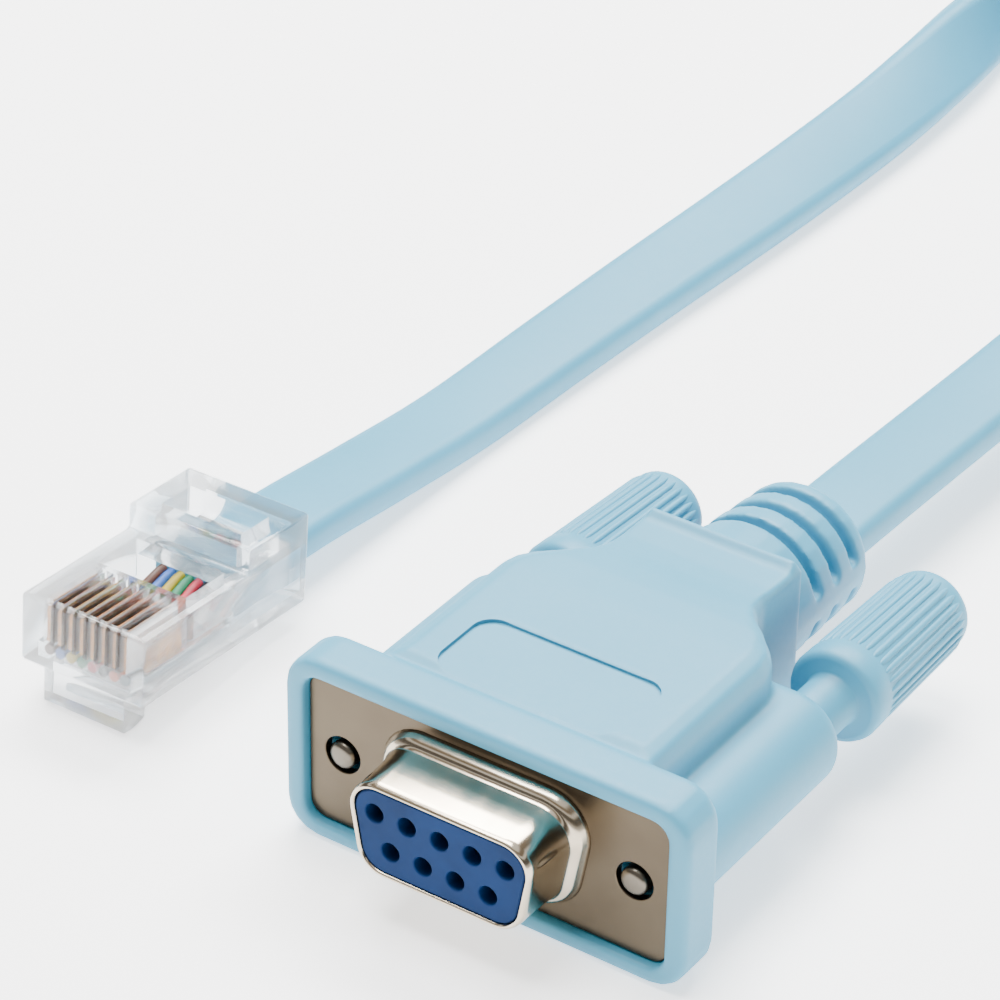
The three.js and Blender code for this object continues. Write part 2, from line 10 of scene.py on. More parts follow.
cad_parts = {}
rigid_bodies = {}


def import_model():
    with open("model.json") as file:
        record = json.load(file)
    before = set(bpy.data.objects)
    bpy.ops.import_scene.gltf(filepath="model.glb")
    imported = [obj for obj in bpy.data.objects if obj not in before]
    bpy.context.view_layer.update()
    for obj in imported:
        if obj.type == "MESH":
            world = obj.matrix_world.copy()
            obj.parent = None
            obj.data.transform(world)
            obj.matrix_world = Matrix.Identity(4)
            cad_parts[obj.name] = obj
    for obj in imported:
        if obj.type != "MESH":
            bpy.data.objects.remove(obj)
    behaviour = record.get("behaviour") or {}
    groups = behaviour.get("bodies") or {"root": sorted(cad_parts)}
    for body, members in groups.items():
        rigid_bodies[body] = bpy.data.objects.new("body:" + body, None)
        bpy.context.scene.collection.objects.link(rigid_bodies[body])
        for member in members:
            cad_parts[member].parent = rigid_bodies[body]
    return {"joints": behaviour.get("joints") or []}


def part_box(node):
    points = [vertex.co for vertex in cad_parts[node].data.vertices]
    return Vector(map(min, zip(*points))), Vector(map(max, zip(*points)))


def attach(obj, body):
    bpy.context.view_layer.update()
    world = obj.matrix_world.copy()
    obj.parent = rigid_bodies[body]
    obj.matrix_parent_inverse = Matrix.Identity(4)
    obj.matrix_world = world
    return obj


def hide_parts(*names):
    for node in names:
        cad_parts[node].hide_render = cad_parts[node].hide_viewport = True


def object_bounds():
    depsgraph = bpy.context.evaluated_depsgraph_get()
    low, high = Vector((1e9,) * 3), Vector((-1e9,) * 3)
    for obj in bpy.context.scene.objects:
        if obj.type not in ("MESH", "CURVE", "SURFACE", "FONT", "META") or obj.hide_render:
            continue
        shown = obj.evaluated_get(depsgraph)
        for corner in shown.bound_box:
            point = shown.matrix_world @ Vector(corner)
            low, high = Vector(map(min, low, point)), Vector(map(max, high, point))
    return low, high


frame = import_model()
cad_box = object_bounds()

MM = 0.001
Z = Vector((0, 0, 1))

# Places that the frame gives. The connector's own point is on its axis, at the plate's front face.
shell_low, shell_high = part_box("face_shell")
PLATE_THICKNESS = 0.8 * MM
PLATE_FRONT = shell_high.y - PLATE_THICKNESS
AXIS_HEIGHT = (shell_low.z + shell_high.z) / 2
CONNECTOR = Vector((0, PLATE_FRONT, AXIS_HEIGHT))

# Camera, seen from the connector's own point
CAMERA_PLACE = Vector((0.13433, -0.19850, 0.18416))
CAMERA_TARGET = Vector((-0.00634, 0.01051, 0.01870))
CAMERA_ROLL = math.radians(1.02)
CAMERA_LENS = 153.93
CAMERA_SENSOR = 36

# Room light by height: the share of the way up, with its colour
WORLD_BANDS = [
    (0.0, (0.8, 0.8, 0.8)),
    (0.12, (0.74, 0.74, 0.74)),
    (0.2, (0.16, 0.15, 0.14)),
    (0.46, (0.10, 0.09, 0.08)),
    (0.51, (1.0, 1.0, 1.0)),
    (0.6, (1.0, 1.0, 1.0)),
    (0.66, (0.24, 0.19, 0.14)),
    (0.8, (0.3, 0.25, 0.2)),
    (0.87, (1.0, 1.0, 1.0)),
    (1.0, (1.0, 1.0, 1.0)),
]
WORLD_STRENGTH = 1.2
FLOOR_SIZE = 3
FLOOR_GLOW = 1.4
FLOOR_DROP = 0.02 * MM  # below the lowest point of the cable

# Flat cable
CABLE_WIDTH = 7.6 * MM
CABLE_THICKNESS = 3.1 * MM
CABLE_CORNER = 1.2 * MM
RING_SPACING = 1.6 * MM
ROUTE_STEP = 0.5 * MM
CORNER_POINTS = 5

# Coil
COIL_CENTRE = (0.0122, 0.163)
COIL_TURN_PITCH = 3.2 * MM
COIL_FIRST_RADIUS = 27.4 * MM
COIL_TURNS = 6
COIL_STOPS_PER_TURN = 28
LEAD_IN = math.radians(88)  # how far round the coil the inner end goes before it joins the first turn
UNDERSIDE = 0.1 * MM
TIE_THICKNESS = 0.8 * MM
SEAT = 0.3 * MM

# Connector
PLATE_WIDTH = 30.81 * MM
PLATE_HEIGHT = 12.55 * MM
PLATE_CORNER = 1.3 * MM
PLATE_EDGE = 0.1 * MM
SCREW_SPACING = 24.99 * MM
SCREW_HOLE_RADIUS = 1.525 * MM
SHELL_WIDTH = 16.33 * MM
SHELL_HEIGHT = 7.9 * MM
SHELL_CORNER = 2.4 * MM
SHELL_SLANT = math.radians(10)
SHELL_WALL = 0.45 * MM
SHELL_LENGTH = 5.9 * MM
# Places along the shell with how far its skin stands out there, from the plate forwards and back inside
SHELL_PROFILE = [
    (0.06, 1.2),
    (-0.25, 1.0),
    (-0.6, 0.86),
    (-0.85, 0.7),
    (-0.98, 0.46),
    (-1.08, 0.3),
    (-1.4, 0.2),
    (-2.4, 0.1),
    (-3.6, 0.03),
    (-5.2, 0.0),
    (-5.6, -0.04),
    (-5.82, -0.14),
    (-5.9, -0.27),
    (-5.84, -0.4),
    (-5.6, -0.45),
    (0.7, -0.45),
]
INSULATOR_SETBACK = 0.15 * MM
INSULATOR_DEPTH = 10 * MM
INSULATOR_GAP = 0.08 * MM
INSULATOR_EDGE = 0.12 * MM
CONTACT_PITCH = 2.77 * MM
CONTACT_ROW_SPACING = 2.84 * MM
CONTACT_HOLE_RADIUS = 0.76 * MM
CONTACT_HOLE_SIDES = 24
HOOD_HEIGHT = 15.7 * MM
HOOD_VOXEL = 0.22 * MM
HOOD_SMOOTHING = 6
HOOD_FACES_KEPT = 0.75
LABEL_WIDTH = 15.8 * MM
LABEL_LENGTH = 7.4 * MM
LABEL_START = 4.0 * MM
LABEL_CORNER = 1.8 * MM
LABEL_DEPTH = 0.3 * MM

# Thumbscrews, along their own line from the plate
KNOB_FRONT = 26.7 * MM
KNOB_END = 42.0 * MM
KNOB_FRONT_RADIUS = 3.85 * MM
KNOB_END_RADIUS = 3.55 * MM
KNOB_BAND = 2.2 * MM
KNOB_ROUND = 0.6 * MM
KNOB_DOME = 1.4 * MM
KNOB_DOME_STEPS = 8
KNOB_RIBS = 30
RIB_DEPTH = 0.16 * MM  # how far the ribs stand out of the grip between them
RIB_RADIUS = 0.3 * MM
RIB_RUN_OUT = 0.7 * MM  # how far the ribs end inside the dome
RIB_RINGS = 24
RIB_SIDES = 10
RIB_SWELL = 0.06  # shares of a rib's length in which it rises at its front and sinks at its rear
RIB_SINK = 0.14
GRIP_SIDES = 96
SHANK_SIDES = 48
KNOB_SLEEVE = [(1.72, 19.3), (2.15, 19.3), (2.15, 26.5), (2.35, 26.7), (3.25, 26.7), (3.68, 26.88)]
SCREW_PROFILE = [
    (0, -0.35),
    (0.55, -0.35),
    (0.85, -0.28),
    (1.05, -0.1),
    (1.1, 0.1),
    (1.1, 3.0),
    (1.42, 3.3),
    (1.42, 29.6),
    (0, 29.6),
]

# Modular plug, in its own frame
PLUG_PITCH = 1.016 * MM
PLUG_WAYS = 8
CORE_RADIUS = 0.43 * MM
# The cores' line: places along the plug, each with the height and the share of the full spread there
CORE_LINE = [
    (0.9, 1.45, 1),
    (9.5, 1.45, 1),
    (11.2, 1.6, 0.96),
    (12.2, 2.1, 0.91),
    (13.2, 2.55, 0.87),
    (14.0, 2.7, 0.85),
]
CORE_SIDES = 16
PLUG_EDGE = 0.12 * MM
PLUG_PLACE = Vector((-0.0372, 0.0004, -0.0044))
PLUG_TURN = math.radians(0.8)
PLUG_TILT = math.radians(-5)
PLUG_FRAME = (
    Matrix.Translation(CONNECTOR + PLUG_PLACE)
    @ Matrix.Rotation(PLUG_TURN, 4, "Z")
    @ Matrix.Rotation(PLUG_TILT, 4, "X")
)


def srgb(red, green, blue):
    """A colour given as 0 to 255 values, as the linear values that shaders take."""
    values = [c / 255 for c in (red, green, blue)]
    return [c / 12.92 if c <= 0.04045 else ((c + 0.055) / 1.055) ** 2.4 for c in values]


def link(obj):
    bpy.context.collection.objects.link(obj)
    return obj


def mesh_object(name, bm, material, smooth=True):
    mesh = bpy.data.meshes.new(name)
    bm.to_mesh(mesh)
    bm.free()
    mesh.materials.append(material)
    for polygon in mesh.polygons:
        polygon.use_smooth = smooth
    return link(bpy.data.objects.new(name, mesh))


WIRE_COLOURS = {
    "brown": (107, 70, 54),
    "blue": (63, 111, 196),
    "yellow": (205, 179, 58),
    "green": (47, 141, 99),
    "red": (200, 57, 75),
    "black": (42, 42, 46),
    "orange": (217, 102, 58),
    "grey": (111, 127, 134),
}

# Camera, floor and light


def make_camera():
    data = bpy.data.cameras.new("view")
    data.lens = CAMERA_LENS
    data.sensor_width = CAMERA_SENSOR
    data.clip_start = 0.01
    camera = link(bpy.data.objects.new("view", data))
    look = (CAMERA_TARGET - CAMERA_PLACE).to_track_quat("-Z", "Y").to_matrix().to_4x4()
    roll = Matrix.Rotation(CAMERA_ROLL, 4, "Z")
    camera.matrix_world = Matrix.Translation(CONNECTOR + CAMERA_PLACE) @ look @ roll
    bpy.context.scene.camera = camera


def make_floor():
    bm = bmesh.new()
    bmesh.ops.create_grid(bm, x_segments=1, y_segments=1, size=FLOOR_SIZE)
    material = bpy.data.materials.new("pale_floor")
    material.use_nodes = True
    shader = material.node_tree.nodes["Principled BSDF"]
    shader.inputs["Base Color"].default_value = (0.95, 0.95, 0.95, 1)
    shader.inputs["Roughness"].default_value = 0.9
    shader.inputs["Emission Color"].default_value = (1, 1, 1, 1)
    shader.inputs["Emission Strength"].default_value = FLOOR_GLOW
    floor = mesh_object("floor", bm, material)
    floor.location.z = cad_box[0].z - FLOOR_DROP


def make_light(name, place, target, size, power, colour=(1, 1, 1)):
    data = bpy.data.lights.new(name, "AREA")
    data.shape = "RECTANGLE"
    data.size, data.size_y = size
    data.energy = power
    data.color = colour
    light = link(bpy.data.objects.new(name, data))
    light.location = place
    light.rotation_euler = (Vector(target) - Vector(place)).to_track_quat("-Z", "Y").to_euler()


def make_world():
    """A plain studio room: bright overhead, darker and warmer towards its walls."""
    world = bpy.data.worlds.new("studio")
    world.use_nodes = True
    tree = world.node_tree
    coordinates = tree.nodes.new("ShaderNodeTexCoord")
    split = tree.nodes.new("ShaderNodeSeparateXYZ")
    ramp = tree.nodes.new("ShaderNodeValToRGB")
    for position, colour in WORLD_BANDS:
        if position in (0, 1):
            element = ramp.color_ramp.elements[-int(position)]
        else:
            element = ramp.color_ramp.elements.new(position)
        element.color = (*colour, 1)
    background = tree.nodes["Background"]
    background.inputs["Strength"].default_value = WORLD_STRENGTH
    tree.links.new(coordinates.outputs["Generated"], split.inputs["Vector"])
    tree.links.new(split.outputs["Z"], ramp.inputs["Fac"])
    tree.links.new(ramp.outputs["Color"], background.inputs["Color"])
    bpy.context.scene.world = world


def make_lights():
    make_world()
    make_light("back", (-0.2, 0.5, 0.7), (0, 0.03, 0), (0.7, 0.3), 20)
    make_light("top", (-0.15, 0.0, 0.75), (0, 0.02, 0), (0.4, 0.4), 11)


# Materials


def new_material(name, colour, roughness, metallic=0.0):
    material = bpy.data.materials.new(name)
    material.use_nodes = True
    nodes = material.node_tree.nodes
    shader = nodes["Principled BSDF"]
    shader.inputs["Base Color"].default_value = (*colour, 1)
    shader.inputs["Roughness"].default_value = roughness
    shader.inputs["Metallic"].default_value = metallic
    return material, material.node_tree, shader


def add_node(tree, kind, **inputs):
    node = tree.nodes.new(kind)
    for name, value in inputs.items():
        node.inputs[name.replace("_", " ")].default_value = value
    return node


def add_bump(tree, shader, height, strength, distance):
    bump = add_node(tree, "ShaderNodeBump", Strength=strength, Distance=distance)
    tree.links.new(height, bump.inputs["Height"])
    tree.links.new(bump.outputs["Normal"], shader.inputs["Normal"])


def object_noise(tree, scale, detail=3.0, stretch=(1, 1, 1)):
    coordinates = tree.nodes.new("ShaderNodeTexCoord")
    mapping = add_node(tree, "ShaderNodeMapping", Scale=stretch)
    noise = add_node(tree, "ShaderNodeTexNoise", Scale=scale, Detail=detail)
    tree.links.new(coordinates.outputs["Object"], mapping.inputs["Vector"])
    tree.links.new(mapping.outputs["Vector"], noise.inputs["Vector"])
    return noise.outputs["Fac"]


def vary_colour(tree, shader, factor, dark, light):
    ramp = tree.nodes.new("ShaderNodeValToRGB")
    ramp.color_ramp.elements[0].color = (*dark, 1)
    ramp.color_ramp.elements[0].position = 0.3
    ramp.color_ramp.elements[1].color = (*light, 1)
    ramp.color_ramp.elements[1].position = 0.7
    tree.links.new(factor, ramp.inputs["Fac"])
    tree.links.new(ramp.outputs["Color"], shader.inputs["Base Color"])


def vary_roughness(tree, shader, factor, low, high):
    spread = add_node(tree, "ShaderNodeMapRange", To_Min=low, To_Max=high)
    tree.links.new(factor, spread.inputs["Value"])
    tree.links.new(spread.outputs["Result"], shader.inputs["Roughness"])


def light_blue_moulding(name, bump_scale):
    material, tree, shader = new_material(name, srgb(66, 146, 176), 0.5)
    cloudy = object_noise(tree, 60)
    vary_colour(tree, shader, cloudy, srgb(62, 143, 173), srgb(70, 149, 179))
    grain = object_noise(tree, bump_scale)
    vary_roughness(tree, shader, grain, 0.42, 0.58)
    add_bump(tree, shader, grain, 0.15, 0.04 * MM)
    shader.inputs["Subsurface Weight"].default_value = 0.12
    shader.inputs["Subsurface Radius"].default_value = (0.5, 0.8, 1.0)
    shader.inputs["Subsurface Scale"].default_value = 0.8 * MM
    return material


def nickel(name, dark, light, roughness):
    material, tree, shader = new_material(name, light, roughness, 1.0)
    vary_colour(tree, shader, object_noise(tree, 120), dark, light)
    grain = object_noise(tree, 900, stretch=(1, 0.3, 1))
    vary_roughness(tree, shader, grain, roughness - 0.05, roughness + 0.05)
    add_bump(tree, shader, grain, 0.05, 0.01 * MM)
    return material


def insulator_blue():
    material, tree, shader = new_material("insulator_blue", srgb(2, 38, 84), 0.6)
    cloudy = object_noise(tree, 300)
    vary_colour(tree, shader, cloudy, srgb(1, 35, 76), srgb(3, 43, 90))
    shader.inputs["Specular IOR Level"].default_value = 0.12
    add_bump(tree, shader, object_noise(tree, 3500), 0.12, 0.02 * MM)
    return material


def gold(name, dark, light, roughness):
    material, tree, shader = new_material(name, light, roughness, 1.0)
    grain = object_noise(tree, 1500)
    vary_colour(tree, shader, grain, dark, light)
    add_bump(tree, shader, grain, 0.1, 0.01 * MM)
    return material


def clear_plastic():
    material, tree, shader = new_material("clear_plastic", srgb(240, 245, 248), 0.06)
    shader.inputs["Transmission Weight"].default_value = 0.97
    shader.inputs["IOR"].default_value = 1.42
    shader.inputs["Alpha"].default_value = 0.8
    cloudy = object_noise(tree, 500, 2)
    vary_roughness(tree, shader, cloudy, 0.02, 0.1)
    add_bump(tree, shader, cloudy, 0.06, 0.05 * MM)
    return material


def wire_plastic(name, colour):
    material, tree, shader = new_material(name, colour, 0.4)
    grain = object_noise(tree, 2000)
    vary_roughness(tree, shader, grain, 0.3, 0.5)
    return material


def black_band():
    material, tree, shader = new_material("tie_band", srgb(30, 30, 33), 0.7)
    weave = object_noise(tree, 2500)
    add_bump(tree, shader, weave, 0.4, 0.1 * MM)
    return material


# The cable: one tube with a flat section that turns on edge for the coil

COIL_BOTTOM = UNDERSIDE + TIE_THICKNESS + SEAT - AXIS_HEIGHT
ON_EDGE = COIL_BOTTOM + CABLE_WIDTH / 2
OVER_COIL = COIL_BOTTOM + CABLE_WIDTH + SEAT + CABLE_THICKNESS / 2


def lying(lean):
    """Height of the cable's middle where it lies on the floor at a lean, from the connector's axis."""
    angle = math.radians(lean)
    half = (CABLE_WIDTH * math.sin(angle) + CABLE_THICKNESS * abs(math.cos(angle))) / 2
    return UNDERSIDE + half - AXIS_HEIGHT


HOOD_END_ROUTE = [
    (0, 0.022, 0, 0),
    (0, 0.0315, 0, 0),
    (0, 0.0423, -0.0006, 0),
    (0.0001, 0.053, -0.0009, 0),
    (0.0002, 0.062, -0.0012, 0),
    (0.0005, 0.072, -0.0013, 0),
    (0.0010, 0.082, -0.0010, 0),
    (0.0019, 0.092, -0.0001, 0),
    (0.0033, 0.101, 0.0012, 0),
    (0.0058, 0.1105, OVER_COIL, 0),
    (0.0094, 0.119, OVER_COIL, 0),
    (0.0134, 0.127, OVER_COIL, 0),
    (0.0172, 0.134, OVER_COIL, 0),
    (0.0204, 0.1406, OVER_COIL, 0),
    (0.0236, 0.1468, 0.0019, 12),
    (0.0278, 0.1538, -0.0005, 42),
    (0.0316, 0.162, -0.0021, 74),
    (0.0330, 0.171, ON_EDGE, 90),
    (0.0302, 0.178, ON_EDGE, 90),
]

PLUG_END_ROUTE = [
    (-0.0352, 0.147, ON_EDGE, 90),
    (-0.0350, 0.140, lying(102), 102),
    (-0.0346, 0.132, lying(124), 124),
    (-0.0343, 0.124, lying(142), 142),
    (-0.0342, 0.114, lying(154), 154),
    (-0.0345, 0.102, lying(160), 160),
    (-0.0351, 0.090, lying(165), 165),
    (-0.0359, 0.078, lying(170), 170),
    (-0.0367, 0.064, lying(176), 176),
    (-0.0373, 0.050, lying(180), 180),
    (-0.0375, 0.038, -0.0052, 180),
    (-0.0375, 0.028, -0.0040, 180),
]

PLUG_LENGTH = 20.8 * MM
JACKET_STOP = 14.0 * MM
CABLE_ENTRY_HEIGHT = 2.7 * MM


def coil_stops():
    """The coil's turns, from the inner end's last point round to the side where the plug's end leaves."""
    last = Vector(HOOD_END_ROUTE[-1][:2]) - Vector(COIL_CENTRE)
    start = math.atan2(last.y, last.x)
    finish = math.pi + COIL_TURNS * 2 * math.pi
    joined = start + LEAD_IN
    outer = COIL_FIRST_RADIUS + COIL_TURNS * COIL_TURN_PITCH
    stops = []
    turns = (finish - start) / (2 * math.pi)
    step_in = last.length - (outer - turns * COIL_TURN_PITCH)
    count = int(turns * COIL_STOPS_PER_TURN)
    for i in range(1, count + 1):
        angle = start + (finish - start) * i / count
        radius = outer - (finish - angle) / (2 * math.pi) * COIL_TURN_PITCH
        if angle < joined:
            share = (joined - angle) / LEAD_IN
            radius += step_in * share * share * (3 - 2 * share)
        x, y = radius * math.cos(angle), radius * math.sin(angle)
        stops.append((COIL_CENTRE[0] + x, COIL_CENTRE[1] + y, ON_EDGE, 90))
    return stops


def inside_plug():
    """The cable's last points, on the plug's own axis, seen from the connector's own point."""
    points = []
    for y in (PLUG_LENGTH, (PLUG_LENGTH + JACKET_STOP) / 2, JACKET_STOP):
        point = PLUG_FRAME @ Vector((0, y, CABLE_ENTRY_HEIGHT)) - CONNECTOR
        points.append((*point, 180))
    return points


def smooth_route(stops):
    """Points close together on a smooth curve through the stops, each with the section's lean."""
    points = [Vector(stop) for stop in stops]
    points = [2 * points[0] - points[1], *points, 2 * points[-1] - points[-2]]
    line = []
    for before, here, there, after in zip(points, points[1:], points[2:], points[3:]):
        steps = max(2, round((there - here).xyz.length / ROUTE_STEP))
        for i in range(steps):
            t = i / steps
            line.append(
                0.5
                * (
                    2 * here
                    + (there - before) * t
                    + (2 * before - 5 * here + 4 * there - after) * t * t
                    + (3 * here - before - 3 * there + after) * t * t * t
                )
            )
    line.append(points[-2])
    return line


def evenly(line, spacing):
    """The same line with its points a set distance apart."""
    travelled = [0.0]
    for a, b in zip(line, line[1:]):
        travelled.append(travelled[-1] + (b.xyz - a.xyz).length)
    count = round(travelled[-1] / spacing)
    points, j = [], 0
    for i in range(count + 1):
        goal = travelled[-1] * i / count
        while j < len(line) - 2 and travelled[j + 1] < goal:
            j += 1
        share = (goal - travelled[j]) / max(travelled[j + 1] - travelled[j], 1e-12)
        points.append(line[j].lerp(line[j + 1], share))
    return points, travelled[-1]


def flat_section():
    """The cable's outline: a flat bar with round corners, wide way first."""
    outline = []
    for quarter, (sx, sy) in enumerate(((1, 1), (-1, 1), (-1, -1), (1, -1))):
        for i in range(CORNER_POINTS):
            angle = (quarter + i / (CORNER_POINTS - 1)) * math.pi / 2
            outline.append(
                (
                    sx * (CABLE_WIDTH / 2 - CABLE_CORNER) + CABLE_CORNER * math.cos(angle),
                    sy * (CABLE_THICKNESS / 2 - CABLE_CORNER) + CABLE_CORNER * math.sin(angle),
                )
            )
    return outline


def make_cable(material):
    stops = HOOD_END_ROUTE + coil_stops() + PLUG_END_ROUTE + inside_plug()
    line, length = evenly(smooth_route(stops), RING_SPACING)
    outline = flat_section()
    bm = bmesh.new()
    rings, path = [], []
    for i, stop in enumerate(line):
        tangent = (line[min(i + 1, len(line) - 1)].xyz - line[max(i - 1, 0)].xyz).normalized()
        across = Z.cross(tangent).normalized()
        across.rotate(Matrix.Rotation(math.radians(stop[3]), 3, tangent))
        through = tangent.cross(across)
        middle = CONNECTOR + stop.xyz
        path.append(middle)
        rings.append([bm.verts.new(middle + across * x + through * y) for x, y in outline])
    for ring, following in zip(rings, rings[1:]):
        for k in range(len(outline)):
            n = (k + 1) % len(outline)
            bm.faces.new((ring[k], ring[n], following[n], following[k]))
    bm.faces.new(rings[0][::-1])
    bm.faces.new(rings[-1])
    bmesh.ops.recalc_face_normals(bm, faces=bm.faces)
    cable = mesh_object("flat_cable", bm, material)
    return cable, path, length


# Shapes used by several pieces


def copy_of_node(node):
    """A merged copy of a CAD node's mesh, for a piece that stands for it."""
    bm = bmesh.new()
    bm.from_mesh(bpy.data.objects[node].data)
    bmesh.ops.remove_doubles(bm, verts=bm.verts, dist=0.002 * MM)
    return bm


def finished_mesh(obj, sharp_angle=None):
    """Applies an object's modifiers to its mesh."""
    evaluated = obj.evaluated_get(bpy.context.evaluated_depsgraph_get())
    mesh = bpy.data.meshes.new_from_object(evaluated)
    obj.modifiers.clear()
    obj.data = mesh
    mesh.shade_smooth()
    if sharp_angle:
        mesh.set_sharp_from_angle(angle=math.radians(sharp_angle))


def rounded(corners, radius, steps=10):
    """A closed outline with each corner of a polygon turned into an arc."""
    outline = []
    for i, corner in enumerate(corners):
        here = Vector(corner)
        before = (Vector(corners[i - 1]) - here).normalized()
        after = (Vector(corners[(i + 1) % len(corners)]) - here).normalized()
        half = before.angle(after) / 2
        middle = here + (before + after).normalized() * (radius / math.sin(half))
        start = here + before * (radius / math.tan(half)) - middle
        end = here + after * (radius / math.tan(half)) - middle
        sweep = start.angle_signed(end)
        for k in range(steps + 1):
            angle = math.atan2(start.y, start.x) - sweep * k / steps
            outline.append(middle + radius * Vector((math.cos(angle), math.sin(angle))))
    return outline


def rectangle(width, height, radius):
    w, h = width / 2, height / 2
    return rounded([(-w, -h), (w, -h), (w, h), (-w, h)], radius)


def circle(radius, x, z, count=32):
    return [
        Vector((x + radius * math.cos(t), z + radius * math.sin(t)))
        for t in (2 * math.pi * i / count for i in range(count))
    ]


def d_outline(offset, steps=10):
    """The shell's D outline in X and Z, wider at the top, grown all round by an offset."""
    top = SHELL_WIDTH / 2
    bottom = top - SHELL_HEIGHT * math.tan(SHELL_SLANT)
    high = SHELL_HEIGHT / 2 + offset
    grow = offset / math.cos(SHELL_SLANT)
    lean = offset * math.tan(SHELL_SLANT)
    corners = [
        (-bottom - grow + lean, -high),
        (bottom + grow - lean, -high),
        (top + grow + lean, high),
        (-top - grow - lean, high),
    ]
    return rounded(corners, SHELL_CORNER + offset, steps)


def lofted(rings, closed_ends=True):
    """A skin through rings of points that all have the same count."""
    bm = bmesh.new()
    rows = [[bm.verts.new(point) for point in ring] for ring in rings]
    for row, following in zip(rows, rows[1:]):
        for k in range(len(row)):
            n = (k + 1) % len(row)
            bm.faces.new((row[k], row[n], following[n], following[k]))
    if closed_ends:
        bm.faces.new(rows[0][::-1])
        bm.faces.new(rows[-1])
    else:
        for k in range(len(rows[0])):
            n = (k + 1) % len(rows[0])
            bm.faces.new((rows[-1][k], rows[-1][n], rows[0][n], rows[0][k]))
    bmesh.ops.recalc_face_normals(bm, faces=bm.faces)
    return bm


def at_connector(outline, y):
    return [CONNECTOR + Vector((p.x, y, p.y)) for p in outline]


def sheet_with_holes(name, outlines, front, rear, edge, material):
    """A flat piece between two places on Y; the first outline is its edge and the others are holes."""
    curve = bpy.data.curves.new(name, "CURVE")
    curve.dimensions = "2D"
    curve.fill_mode = "BOTH"
    curve.extrude = (rear - front) / 2 - edge
    curve.bevel_depth = edge
    curve.bevel_resolution = 2
    curve.offset = -edge
    for outline in outlines:
        spline = curve.splines.new("POLY")
        spline.points.add(len(outline) - 1)
        spline.use_cyclic_u = True
        for point, place in zip(spline.points, outline):
            point.co = (place.x, place.y, 0, 1)
    source = link(bpy.data.objects.new(name, curve))
    mesh = bpy.data.meshes.new_from_object(source.evaluated_get(bpy.context.evaluated_depsgraph_get()))
    bpy.data.objects.remove(source)
    place = Matrix.Translation(CONNECTOR + Vector((0, (front + rear) / 2, 0)))
    mesh.transform(place @ Matrix.Rotation(math.pi / 2, 4, "X"))
    mesh.materials.clear()
    mesh.materials.append(material)
    mesh.shade_smooth()
    mesh.set_sharp_from_angle(angle=math.radians(40))
    return link(bpy.data.objects.new(name, mesh))


def turned(profile, place, count):
    """A solid turned on its own Y line from (radius, y) pairs."""
    rings = []
    for radius, y in profile:
        r = max(radius, 0.01 * MM)
        angles = [2 * math.pi * i / count for i in range(count)]
        rings.append([place @ Vector((r * math.cos(t), y, r * math.sin(t))) for t in angles])
    return lofted(rings)


def stand_for(obj, *nodes, body="connector"):
    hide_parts(*nodes)
    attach(obj, body)
    return obj


# Connector pieces


def make_hood(material):
    hood = mesh_object("hood_moulding", copy_of_node("hood"), material)
    remesh = hood.modifiers.new("remesh", "REMESH")
    remesh.mode = "VOXEL"
    remesh.voxel_size = HOOD_VOXEL
    smooth = hood.modifiers.new("smooth", "SMOOTH")
    smooth.factor = 0.5
    smooth.iterations = HOOD_SMOOTHING
    finished_mesh(hood)
    recess = mesh_object("recess", label_tool(), material)
    cut = hood.modifiers.new("label", "BOOLEAN")
    cut.object = recess
    cut.operation = "DIFFERENCE"
    thin = hood.modifiers.new("thin", "DECIMATE")
    thin.ratio = HOOD_FACES_KEPT
    finished_mesh(hood, sharp_angle=50)
    bpy.data.objects.remove(recess)
    return stand_for(hood, "hood")


def label_tool():
    """The solid that cuts the label's shallow recess into the hood's top."""
    outline = rectangle(LABEL_WIDTH, LABEL_LENGTH, LABEL_CORNER)
    middle = CONNECTOR + Vector((0, LABEL_START + LABEL_LENGTH / 2, HOOD_HEIGHT / 2))
    return lofted([[middle + Vector((p.x, p.y, z)) for p in outline] for z in (-LABEL_DEPTH, MM)])


def make_face_shell(plate_metal, shell_metal):
    holes = [circle(SCREW_HOLE_RADIUS, side * SCREW_SPACING / 2, 0) for side in (-1, 1)]
    plate = sheet_with_holes(
        "face_plate",
        [rectangle(PLATE_WIDTH, PLATE_HEIGHT, PLATE_CORNER), d_outline(-SHELL_WALL), *holes],
        0,
        PLATE_THICKNESS,
        PLATE_EDGE,
        plate_metal,
    )
    rings = [at_connector(d_outline(offset * MM), y * MM) for y, offset in SHELL_PROFILE]
    shell = mesh_object("d_shell", lofted(rings, closed_ends=False), shell_metal)
    for piece in (plate, shell):
        stand_for(piece, "face_shell")


def contact_places():
    rows = ((5, CONTACT_ROW_SPACING / 2), (4, -CONTACT_ROW_SPACING / 2))
    return [((i - (count - 1) / 2) * CONTACT_PITCH, z) for count, z in rows for i in range(count)]


def make_insulator(material):
    holes = [circle(CONTACT_HOLE_RADIUS, x, z, CONTACT_HOLE_SIDES) for x, z in contact_places()]
    front = -SHELL_LENGTH + INSULATOR_SETBACK
    face = sheet_with_holes(
        "insulator_block",
        [d_outline(-SHELL_WALL - INSULATOR_GAP), *holes],
        front,
        front + INSULATOR_DEPTH,
        INSULATOR_EDGE,
        material,
    )
    return stand_for(face, "insulator")


def thumbscrew_place(joint_name):
    """The frame of a thumbscrew: its origin is at the plate and its Y line is the joint's axis."""
    joint = next(j for j in frame["joints"] if j["name"] == joint_name)
    origin = Vector(joint["pos_m"])
    turn = Vector((0, 1, 0)).rotation_difference(Vector(joint["axis"]))
    return Matrix.Translation(origin) @ turn.to_matrix().to_4x4()


